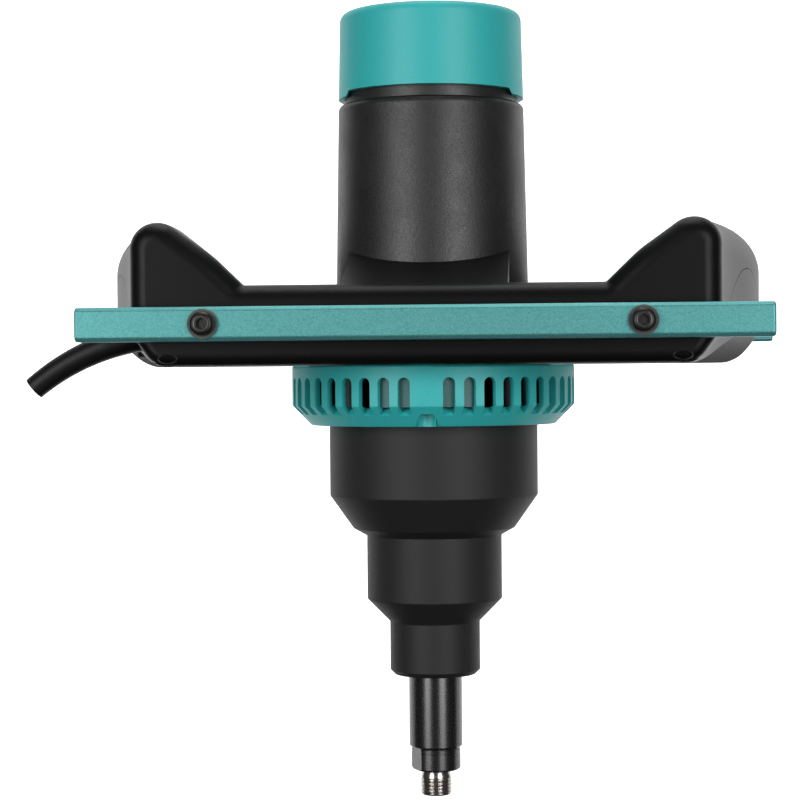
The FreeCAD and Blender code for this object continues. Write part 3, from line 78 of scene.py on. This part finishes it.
def grained(tree, shader, colours, size_mm, depth_mm, rough, stretch=(1.0, 1.0, 1.0)):
    """Lumps size_mm across: the noise between low and high runs from the first colour and
    roughness to the second, and the same noise stands depth_mm high as bump."""
    low, high = 0.3, 0.7
    place = add(tree, "ShaderNodeTexCoord").outputs["Object"]
    place = add(tree, "ShaderNodeMapping", Vector=place, Scale=stretch).outputs["Vector"]
    lumps = {"Scale": 1.0 / (size_mm * MM), "Detail": 3.0, "Roughness": 0.6}
    noise = add(tree, "ShaderNodeTexNoise", Vector=place, **lumps).outputs["Fac"]
    ramp = add(tree, "ShaderNodeValToRGB", Fac=noise)
    for stop, at, colour in zip(ramp.color_ramp.elements, (low, high), colours):
        stop.position, stop.color = at, linear(colour)
    tree.links.new(ramp.outputs["Color"], shader.inputs["Base Color"])
    spread = {"From Min": low, "From Max": high, "To Min": rough[0], "To Max": rough[1]}
    gloss = add(tree, "ShaderNodeMapRange", Value=noise, **spread)
    tree.links.new(gloss.outputs["Result"], shader.inputs["Roughness"])
    bump = add(tree, "ShaderNodeBump", Height=noise, Strength=1.0, Distance=depth_mm * MM)
    tree.links.new(bump.outputs["Normal"], shader.inputs["Normal"])


def coat(finish, *names):
    """Give the named nodes of the solid part this finish and no other."""
    for name in names:
        nodes[name].data.materials.clear()
        nodes[name].data.materials.append(finish)


charcoal, tree, shader = new_finish("charcoal_coated_casting", IOR=1.5)
grained(tree, shader, ("#131313", "#1a1a1a"), size_mm=0.5, depth_mm=0.02, rough=(0.52, 0.66))
coat(charcoal, "spindle_neck", "gear_case", "gear_plate")


# Spindle: one turned steel bar with two wrench flats, blacked in an oxide bath and polished, so it shines
# almost like lacquer. Two fine tool grooves run round it at the top of the flats.
def grid_piece(name, points, finish, closed):
    """A grid of points, rows by columns by xyz in metres, with a face between each four neighbours;
    closed joins the last column to the first."""
    rows, columns = points.shape[:2]
    index = np.arange(rows * columns).reshape(rows, columns)
    if closed:
        index = np.concatenate([index, index[:, :1]], axis=1)
    quads = np.stack([index[:-1, :-1], index[:-1, 1:], index[1:, 1:], index[1:, :-1]], axis=-1)
    mesh = bpy.data.meshes.new(name)
    mesh.from_pydata(points.reshape(-1, 3).tolist(), [], quads.reshape(-1, 4).tolist())
    mesh.materials.append(finish)
    mesh.shade_smooth()
    piece = bpy.data.objects.new(name, mesh)
    bpy.context.scene.collection.objects.link(piece)
    return piece


def surface(name, points, finish, body, smooth_deg):
    """A closed grid of points in mm that rides a body; folds of more than smooth_deg stay sharp."""
    piece = grid_piece(name, points * MM, finish, closed=True)
    piece.data.set_sharp_from_angle(angle=math.radians(smooth_deg))
    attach(piece, body)
    return piece


def round_bar(radius, height, angle):
    """Points at the given radius, rows by columns, round the Z axis at each height and angle."""
    height = np.broadcast_to(height[:, None], radius.shape)
    return np.stack([radius * np.cos(angle), radius * np.sin(angle), height], axis=-1)


def spaced(corners, step):
    """A polyline of (radius, height) with points at most step apart and every corner kept."""
    corners = np.array(corners, float)
    parts = [
        np.linspace(a, b, max(2, int(np.hypot(*(b - a)) / step) + 1), endpoint=False)
        for a, b in zip(corners[:-1], corners[1:])
    ]
    return np.concatenate(parts + [corners[-1:]])


BAR, SHANK, JOURNAL, TAIL, POLE = 11.0, 11.85, 10.0, 9.0, 0.01
SHANK_TOP, JOURNAL_TOP, TAIL_TOP = 50.7, 104.55, 126.55
FLATS_HALF, FLATS_TOP, FLATS_TURN = 9.5, 10.06, math.radians(26.0)
FACE_COLUMNS = 24
flat_reach = math.acos(FLATS_HALF / BAR)
flat_edges = FLATS_TURN + np.array(
    [-flat_reach, flat_reach, math.pi - flat_reach, math.pi + flat_reach, 2 * math.pi - flat_reach]
)
bar_angle = np.concatenate(
    [np.linspace(a, b, FACE_COLUMNS, endpoint=False) for a, b in zip(flat_edges[:-1], flat_edges[1:])]
)[None, :]

oxide, tree, shader = new_finish("polished_black_oxide_steel", IOR=1.85)
grained(
    tree, shader, ("#060605", "#0b0a09"), size_mm=0.3, depth_mm=0.0006, rough=(0.24, 0.29),
    stretch=(1, 1, 0.35),
)
coat(
    oxide, "shell_screws", "ring_screws", "gear_plate_screws", "motor_screws", "neck_screws",
    "spindle_circlip",
)
land = spaced(
    [
        (5.4, 0.0), (10.2, 0.0), (BAR, 0.8), (BAR, 7.6), (10.8, 7.75), (10.8, 8.15), (BAR, 8.3),
        (BAR, 9.1), (10.75, 9.25), (10.75, 9.6), (BAR, 10.05), (SHANK, 10.85), (SHANK, SHANK_TOP),
        (JOURNAL, SHANK_TOP), (JOURNAL, JOURNAL_TOP), (TAIL, JOURNAL_TOP), (TAIL, TAIL_TOP),
        (POLE, TAIL_TOP),
    ],
    step=2.0,
)
# A flat lies at its half width over the cosine of the angle from its middle, which is kept off zero.
land_radius = np.repeat(land[:, :1], bar_angle.shape[1], axis=1)
flat_radius = FLATS_HALF / np.maximum(np.abs(np.cos(bar_angle - FLATS_TURN)), 0.2)
land_radius = np.where(land[:, 1:] < FLATS_TOP, np.minimum(land_radius, flat_radius), land_radius)
spindle_points = round_bar(land_radius, land[:, 1], bar_angle)
spindle = surface("spindle_turned", spindle_points, oxide, "spindle", smooth_deg=25.0)
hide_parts("spindle")

# The stud's thread: cut after the bath, so it is bright bare steel. The radius falls into narrow grooves
# of a triangle wave whose phase is height over pitch less the turn, which winds it to the right. The
# grooves run out below the shoulder, and an envelope draws the stud in there and at its end.
PITCH, CREST, DEPTH = 1.6, 6.95, 0.6
GROOVE_SLOPE = 2.4
STUD_END, CHAMFER_TOP, RELIEF_FOOT = -11.3, -10.6, -3.7
RUN_OUT_TOP, RUN_OUT_LENGTH = -3.3, 0.9
END_RADIUS, RELIEF_RADIUS = 6.3, 6.0
STUD_ROWS, STUD_COLUMNS = 142, 72
END_FACE = np.array([[POLE], [3.0], [5.7]])
bright_cut, tree, shader = new_finish("freshly_cut_steel_thread", Metallic=1.0)
grained(tree, shader, ("#b0aba5", "#c6c1bb"), size_mm=0.4, depth_mm=0.0006, rough=(0.18, 0.25))
stud_angle = np.linspace(0.0, 2 * math.pi, STUD_COLUMNS, endpoint=False)[None, :]
stud_height = np.linspace(STUD_END, 0.0, STUD_ROWS)
turns = stud_height[:, None] / PITCH - stud_angle / (2 * math.pi)
wave = np.abs(2 * (turns - np.floor(turns)) - 1)
run_out = np.clip((RUN_OUT_TOP - stud_height) / RUN_OUT_LENGTH, 0.0, 1.0)[:, None]
thread = CREST - DEPTH * run_out * np.clip(GROOVE_SLOPE * wave - (GROOVE_SLOPE - 1.0), 0.0, 1.0)
envelope = np.interp(
    stud_height, [STUD_END, CHAMFER_TOP, RELIEF_FOOT, 0.0], [END_RADIUS, CREST, CREST, RELIEF_RADIUS]
)
stud = np.minimum(thread, envelope[:, None])
stud_radius = np.concatenate([np.repeat(END_FACE, STUD_COLUMNS, axis=1), stud])
stud_points = round_bar(
    stud_radius, np.concatenate([np.full(len(END_FACE), STUD_END), stud_height]), stud_angle
)
stud_piece = surface("spindle_thread_cut", stud_points, bright_cut, "spindle", smooth_deg=50.0)

# Gears, shafts and bearings: alloy steel, hardened and ground, pressed together inside the castings.
# Grinding leaves them bright, with fine marks that run along the shafts.
ground, tree, shader = new_finish("ground_gear_steel", Metallic=1.0)
grained(
    tree, shader, ("#8f9092", "#a5a6a8"), size_mm=0.8, depth_mm=0.003, rough=(0.24, 0.32),
    stretch=(1, 1, 0.1),
)
coat(
    ground, "spindle_gear", "layshaft_gear", "layshaft", "armature_shaft", "spindle_low_bearing",
    "spindle_high_bearing", "motor_low_bearing", "motor_top_bearing",
)

# Bushes, threaded inserts and brush holders: turned brass, pressed into the castings and mouldings.
# It is left plain, so it has a soft yellow shine.
brass, tree, shader = new_finish("plain_turned_brass", Metallic=1.0)
grained(tree, shader, ("#b08d4a", "#c2a05c"), size_mm=1.0, depth_mm=0.004, rough=(0.3, 0.4))
coat(brass, "bar_inserts", "brush_holders", "layshaft_low_bush", "layshaft_high_bush")

# Motor windings and commutator: enamelled copper wire and copper bars, wound and pressed onto the
# cores. The wires show as fine red-brown ridges under a glossy varnish.
copper, tree, shader = new_finish("enamelled_copper_winding", Metallic=0.8)
grained(
    tree, shader, ("#7c3a1c", "#a3552c"), size_mm=0.9, depth_mm=0.15, rough=(0.25, 0.35),
    stretch=(1, 1, 0.3),
)
coat(copper, "field_coils", "armature_coils", "commutator")

# Stator and armature cores: thin punched steel sheets, stacked and pressed into the housing and onto
# the shaft. The edges of the sheets show as fine grey lines round each core.
sheets, tree, shader = new_finish("stacked_lamination_steel", Metallic=1.0)
grained(
    tree, shader, ("#4a4b4d", "#5c5d60"), size_mm=0.7, depth_mm=0.03, rough=(0.4, 0.5),
    stretch=(0.02, 0.02, 1),
)
coat(sheets, "stator_core", "armature_core")

# Fan, switch, trigger and lock button: moulded glass-filled nylon, black and dull with a fibre grain.
# The carbon brushes look the same in their holders.
dull_nylon, tree, shader = new_finish("glass_filled_nylon", IOR=1.53)
grained(tree, shader, ("#141415", "#1b1b1c"), size_mm=0.8, depth_mm=0.02, rough=(0.45, 0.58))
coat(dull_nylon, "cooling_fan", "carbon_brushes", "switch_body", "trigger", "lock_button")

# Vent ring and the cap on the motor: teal ABS, moulded with a satin surface. A curved screen stands behind
# the ring's slots at each of the two screw posts, its teal painted darker and duller as painted shade, and
# a plain teal lining closes the back of each post's notch.
teal, tree, shader = new_finish("satin_moulded_teal_abs", IOR=1.5)
grained(tree, shader, ("#2eb1b1", "#37bcbc"), size_mm=0.5, depth_mm=0.012, rough=(0.42, 0.52))
coat(teal, "vent_ring", "top_cap")


def curved_strip(outline, start_deg, end_deg, steps, centre=0.0):
    """A closed outline of (radius, height) carried round a line along Z at a distance in Y; the ends
    shrink to a line."""
    turn = np.radians(np.linspace(start_deg, end_deg, steps))
    turn = np.concatenate([turn[:1], turn, turn[-1:]])
    outline = np.array(outline, float)
    rings = np.repeat(outline[None, :, :], steps + 2, axis=0)
    rings[[0, -1], :, 0] = outline[:, 0].mean()
    x, y = rings[:, :, 0] * np.cos(turn)[:, None], rings[:, :, 0] * np.sin(turn)[:, None]
    return np.stack([x, y + centre, rings[:, :, 1]], axis=-1)


def upright(inner, outer, low, high):
    """The outline of an upright wall between two radii and two heights."""
    return [(inner, low), (outer, low), (outer, high), (inner, high)]


SLOT_FOOT, SCREEN_TOP, SCREEN_HALF_DEG = 162.2, 178.8, 22.5
POST_PLACE, NOTCH_FOOT, NOTCH_ROOF, LINING_HALF_DEG = 56.2, 153.9, 159.4, 100.0
SCREEN = upright(57.6, 58.8, SLOT_FOOT, SCREEN_TOP)
LINING = upright(3.6, 3.72, NOTCH_FOOT, NOTCH_ROOF)
# Painted shade: the screens take a darker, duller copy of the ring's teal.
painted_shade_teal, tree, shader = new_finish("shaded_moulded_teal_abs", IOR=1.5)
grained(tree, shader, ("#406f6f", "#4e8080"), size_mm=0.7, depth_mm=0.01, rough=(0.45, 0.55))
for side, sign in (("front", -1), ("rear", 1)):
    middle = 90.0 * sign
    screen_points = curved_strip(SCREEN, middle - SCREEN_HALF_DEG, middle + SCREEN_HALF_DEG, 40)
    screen = surface(f"ring_screen_{side}", screen_points, painted_shade_teal, "frame", smooth_deg=40.0)
    lining_points = curved_strip(
        LINING, -middle - LINING_HALF_DEG, -middle + LINING_HALF_DEG, 32, centre=POST_PLACE * sign
    )
    lining = surface(f"ring_notch_lining_{side}", lining_points, teal, "frame", smooth_deg=40.0)

# Fan baffle: a thin dark nylon band inside the ring, round the back half of the fan, that turns the
# air down; it also keeps daylight from showing through the slots.
BAFFLE_TOP, BAFFLE_FROM_DEG, BAFFLE_TO_DEG = 179.0, 4.0, 176.0
BAFFLE = upright(54.8, 55.6, SLOT_FOOT, BAFFLE_TOP)
baffle_points = curved_strip(BAFFLE, BAFFLE_FROM_DEG, BAFFLE_TO_DEG, 90)
baffle = surface("fan_baffle", baffle_points, dull_nylon, "frame", smooth_deg=40.0)

# Motor housing: glass-filled nylon, moulded in a spark-eroded tool, which leaves a sandy grain. Hands
# have left wide faint smudges on it, some a little smoother than the rest and some a little rougher.
sandy_nylon, tree, shader = new_finish("spark_textured_nylon", IOR=1.58)
grained(tree, shader, ("#101010", "#212120"), size_mm=0.9, depth_mm=0.1, rough=(0.38, 0.5))
SMUDGE_MM = 14.0
grain_gloss = shader.inputs["Roughness"].links[0].from_socket
place = add(tree, "ShaderNodeTexCoord").outputs["Object"]
patches = {"Scale": 1.0 / (SMUDGE_MM * MM), "Detail": 2.0}
smudge = add(tree, "ShaderNodeTexNoise", Vector=place, **patches).outputs["Fac"]
smudge_gloss = {"From Min": 0.35, "From Max": 0.65, "To Min": -0.02, "To Max": 0.03}
smudge = add(tree, "ShaderNodeMapRange", Value=smudge, **smudge_gloss).outputs["Result"]
handled = add(tree, "ShaderNodeMath", {"operation": "ADD"}, i0=grain_gloss, i1=smudge)
tree.links.new(handled.outputs["Value"], shader.inputs["Roughness"])
coat(sandy_nylon, "motor_housing")

# Handle frame: two nylon mouldings that meet behind the bars and hold the motor between them; the
# oval covers in the outer sides snap in. Satin black with a very fine grain.
satin_nylon, tree, shader = new_finish("satin_moulded_black_nylon", IOR=1.28)
grained(tree, shader, ("#060606", "#0a0a0a"), size_mm=0.5, depth_mm=0.006, rough=(0.37, 0.45))
coat(satin_nylon, "handle_upper_shell", "handle_lower_shell", "side_cover_left", "side_cover_right")

# Mouths of the shell screws: oval pockets moulded low on the front and rear of the lower shell. Each has a
# soft raised lip in the housing's lighter sandy nylon, a painted highlight on its rim, and inside it a
# near-flat dark oval of painted shade that stands for a pocket too deep for light to reach the screw.
FACE, FACE_ROUND, FOOT = 83.0, 5.0, 180.05
OVAL_HALF_LENGTH, OVAL_HALF_HEIGHT, OVAL_LEVEL = 3.9, 1.8, 3.15
CORNER_LEVEL, CORNER_LEAN, CORNER_SQUARE = 2.95, 1.25, 0.64


def oval_pocket(x, sign, corner, shape):
    """Rings of an oval laid on the shell's face: each row of shape is a share of the full size and a
    height over the face. The face turns under by a quarter round that starts FACE_ROUND from its foot
    or from its slanted corner. That corner is at x = corner at CORNER_LEVEL and leans out by
    CORNER_LEAN for each millimetre up; CORNER_SQUARE of a distance in X is square to it."""
    around = np.linspace(0.0, 2 * math.pi, 40, endpoint=False)[None, :]
    share, over = np.array(shape, float).T[:, :, None]
    across = x + OVAL_HALF_LENGTH * share * np.cos(around)
    up = OVAL_LEVEL + OVAL_HALF_HEIGHT * share * np.sin(around)
    edge = corner + CORNER_LEAN * (up - CORNER_LEVEL)
    inside = np.clip(np.minimum(up, CORNER_SQUARE * (edge - np.abs(across))), 0.05, FACE_ROUND)
    turned = FACE_ROUND - np.sqrt(FACE_ROUND**2 - (FACE_ROUND - inside) ** 2)
    return np.stack([across, sign * (FACE + over - turned), FOOT + up], axis=-1)


LIP = [(1.12, -0.15), (1.06, 0.12), (1.0, 0.2), (0.93, 0.1), (0.88, -0.1)]
POCKET_SHADE = [(0.95, 0.04), (0.5, 0.05), (0.01, 0.05)]
# Painted shade: the pocket is a near-black oval just proud of the face, not a hole.
painted_pocket_shade, tree, shader = new_finish("painted_pocket_shade_nylon", IOR=1.2)
grained(tree, shader, ("#030303", "#060606"), size_mm=0.5, depth_mm=0.006, rough=(0.6, 0.7))
for face, sign, away, corner in (("front", -1, 105.5, 113.2), ("rear", 1, 116.0, 130.0)):
    for side, x in (("left", -away), ("right", away)):
        # Painted highlight: the lip takes the lighter sandy nylon, so its rim reads brighter than the
        # shell.
        for part, shape, finish in (("lip", LIP, sandy_nylon), ("pocket", POCKET_SHADE, painted_pocket_shade)):
            points = oval_pocket(x, sign, corner, shape)
            piece = surface(f"screw_{part}_{face}_{side}", points, finish, "frame", smooth_deg=60.0)

# Guard bars: square steel bar with bevelled edges, bolted to the handle frame. The teal powder coat is
# full of metal flake, so the flat faces shine at the light and the bevels fall dark.
flake_coat, tree, shader = new_finish("teal_flake_powder_coat", Metallic=0.6, IOR=1.5)
grained(tree, shader, ("#4b9797", "#6ab2b2"), size_mm=0.7, depth_mm=0.02, rough=(0.42, 0.52))
coat(flake_coat, "front_bar", "rear_bar")

# Bar bolts and washers: button-head socket screws with a dull black finish over stamped washers with a
# slightly brown phosphate coat. A thin ring of bright steel round each bolt's socket is a painted
# highlight, for the light that the socket's edge catches.
bolt_black, tree, shader = new_finish("dull_blackened_bolt_steel", IOR=1.5)
grained(tree, shader, ("#0a0a09", "#10100f"), size_mm=0.4, depth_mm=0.003, rough=(0.38, 0.46))
coat(bolt_black, "bar_bolts")
phosphate, tree, shader = new_finish("phosphated_steel_washer", IOR=1.6)
grained(tree, shader, ("#3a3734", "#494541"), size_mm=0.6, depth_mm=0.01, rough=(0.4, 0.5))
coat(phosphate, "bar_washers")
# Painted highlight: bright steel rings laid on the bolt tops stand for light on the sockets' edges.
bolt_rim_highlight, tree, shader = new_finish("painted_highlight_rim_steel", Metallic=1.0)
grained(tree, shader, ("#6b665f", "#827c74"), size_mm=0.5, depth_mm=0.003, rough=(0.28, 0.38))
BOLT_X, BOLT_LEVEL, BOLT_TOP = 89.0, 197.3, 99.65
RIM_RADIUS, RIM_THICK = 2.85, 0.3


def rim(x, y, z):
    """A ring of round section about a line along Y: a circle of RIM_THICK across is carried round a
    circle of RIM_RADIUS, and the first section is repeated to close it."""
    around = np.linspace(0.0, 2 * math.pi, 40, endpoint=False)[:, None]
    section = np.linspace(0.0, 2 * math.pi, 8, endpoint=False)[None, :]
    out = RIM_RADIUS + RIM_THICK / 2 * np.cos(section)
    ring_x, ring_z = x + out * np.cos(around), z + out * np.sin(around)
    ring_y = np.broadcast_to(y + RIM_THICK / 2 * np.sin(section), ring_x.shape)
    ring = np.stack([ring_x, ring_y, ring_z], axis=-1)
    return np.concatenate([ring, ring[:1]])


for side, x in (("left", -BOLT_X), ("right", BOLT_X)):
    for face, y in (("front", -BOLT_TOP), ("rear", BOLT_TOP)):
        points = rim(x, y, BOLT_LEVEL)
        edge = surface(f"bolt_highlight_rim_{face}_{side}", points, bolt_rim_highlight, "frame", smooth_deg=60.0)

# Lead sleeve and spindle seal: moulded black rubber, pushed into the handle and the nose of the neck.
# It is dull, with a soft sheen.
rubber, tree, shader = new_finish("moulded_black_rubber", IOR=1.38)
grained(tree, shader, ("#070707", "#0c0c0c"), size_mm=0.6, depth_mm=0.02, rough=(0.42, 0.52))
coat(rubber, "cable_sleeve", "spindle_seal")

# Studio: a pale floor under a white dome, a white screen behind the object that lights its sides, and
# two soft boxes in front with a weaker one overhead, as for a catalogue picture. The camera sees the
# dome, the object the screen. Studio sizes are in metres.
FLOOR, REACH = -0.35, 4.0
SCREEN_GAP, BACK_FLOOR_NEAR = 0.1, 0.45


def paper(name, glow):
    """White paper that gives off light of its own."""
    finish, tree, shader = new_finish(name, Roughness=0.9, Emission_Strength=glow)
    shader.inputs["Base Color"].default_value = linear("#efefef")
    shader.inputs["Emission Color"].default_value = linear("#ffffff")
    return finish


def studio_sheet(name, points, finish, seen_by_camera):
    """A sheet of the studio, seen either by the camera alone or by the object alone."""
    sheet = grid_piece(name, points, finish, closed=False)
    sheet.visible_camera = seen_by_camera
    sheet.visible_diffuse = sheet.visible_glossy = not seen_by_camera
    sheet.visible_shadow = False


def dome(radius, start_deg, end_deg):
    """Part of a half sphere that stands on the floor, between two directions round the Z axis; it ends
    just short of its top."""
    turn = np.radians(np.linspace(start_deg, end_deg, 73))[None, :]
    rise = np.radians(np.linspace(0.0, 89.9, 25))[:, None]
    x, y = radius * np.cos(rise) * np.cos(turn), radius * np.cos(rise) * np.sin(turn)
    return np.stack([x, y, np.broadcast_to(FLOOR + radius * np.sin(rise), x.shape)], axis=-1)


def level(near, far):
    """A level sheet across the studio, from one depth to another."""
    x, y = np.meshgrid([-REACH, REACH], [near, far])
    return np.stack([x, y, np.full_like(x, FLOOR)], axis=-1)


white, screen_white = paper("white_paper", 1.0), paper("lit_screen_paper", 0.55)
studio_sheet("studio_dome", dome(REACH, 0.0, 360.0), white, True)
studio_sheet("studio_floor", level(-REACH, REACH), white, True)
studio_sheet("back_screen", dome(REACH - SCREEN_GAP, 30.0, 150.0), screen_white, False)
studio_sheet("back_floor", level(BACK_FLOOR_NEAR, REACH), screen_white, False)

world = bpy.data.worlds.new("studio_world")
bpy.context.scene.world = world
world.use_nodes = True
background = next(node for node in world.node_tree.nodes if node.type == "BACKGROUND")
background.inputs["Color"].default_value = linear("#ffffff")
background.inputs["Strength"].default_value = 0.05
LIT = Vector((0, 0, 0.18))


def soft_box(name, place, width, height, watts):
    """A rectangular lamp at a place, turned to the middle of the object."""
    light = bpy.data.lights.new(name, "AREA")
    light.shape = "RECTANGLE"
    light.size, light.size_y, light.energy = width, height, watts
    lamp = bpy.data.objects.new(name, light)
    lamp.location = place
    lamp.rotation_euler = (LIT - Vector(place)).to_track_quat("-Z", "Y").to_euler()
    bpy.context.scene.collection.objects.link(lamp)


soft_box("left_soft_box", (-0.90, -1.42, 0.35), width=0.7, height=1.2, watts=15)
soft_box("right_soft_box", (0.90, -1.42, 0.35), width=0.7, height=1.2, watts=15)
soft_box("overhead_soft_box", (0, 0.1, 1.9), width=1.1, height=1.1, watts=9)

# Camera: a 100 mm lens a metre from the spindle axis, a little right of the front and as high as the
# underside of the handle. It is turned until the axis and the horizon fall on their pixels in a
# picture of 800 by 800, and rolled by a trace.
PICTURE_PX, AXIS_PX, HORIZON_PX = 800, 433.3, 369.3
LENS_MM, SENSOR_MM = 100.0, 36.0
EYE_DISTANCE, EYE_LEVEL, ROLL_DEG = 0.990, 0.17825, -0.47
camera_azimuth = math.radians(2.65)
camera_data = bpy.data.cameras.new("camera")
camera_data.lens, camera_data.sensor_width = LENS_MM, SENSOR_MM
camera = bpy.data.objects.new("camera", camera_data)
bpy.context.scene.collection.objects.link(camera)
bpy.context.scene.camera = camera
focal_px = PICTURE_PX * LENS_MM / SENSOR_MM
eye_x, eye_y = EYE_DISTANCE * math.sin(camera_azimuth), -EYE_DISTANCE * math.cos(camera_azimuth)
pitch = math.atan2(PICTURE_PX / 2 - HORIZON_PX, focal_px)
yaw = math.atan2(AXIS_PX - PICTURE_PX / 2, focal_px)
look = Matrix.Rotation(camera_azimuth + yaw, 3, "Z") @ Vector((0, math.cos(pitch), -math.sin(pitch)))
turn = look.to_track_quat("-Z", "Y").to_matrix()
roll = Matrix.Rotation(math.radians(ROLL_DEG), 3, "Z")
camera.matrix_world = Matrix.Translation((eye_x, eye_y, EYE_LEVEL)) @ (turn @ roll).to_4x4()
bpy.context.scene.view_settings.view_transform = "Standard"
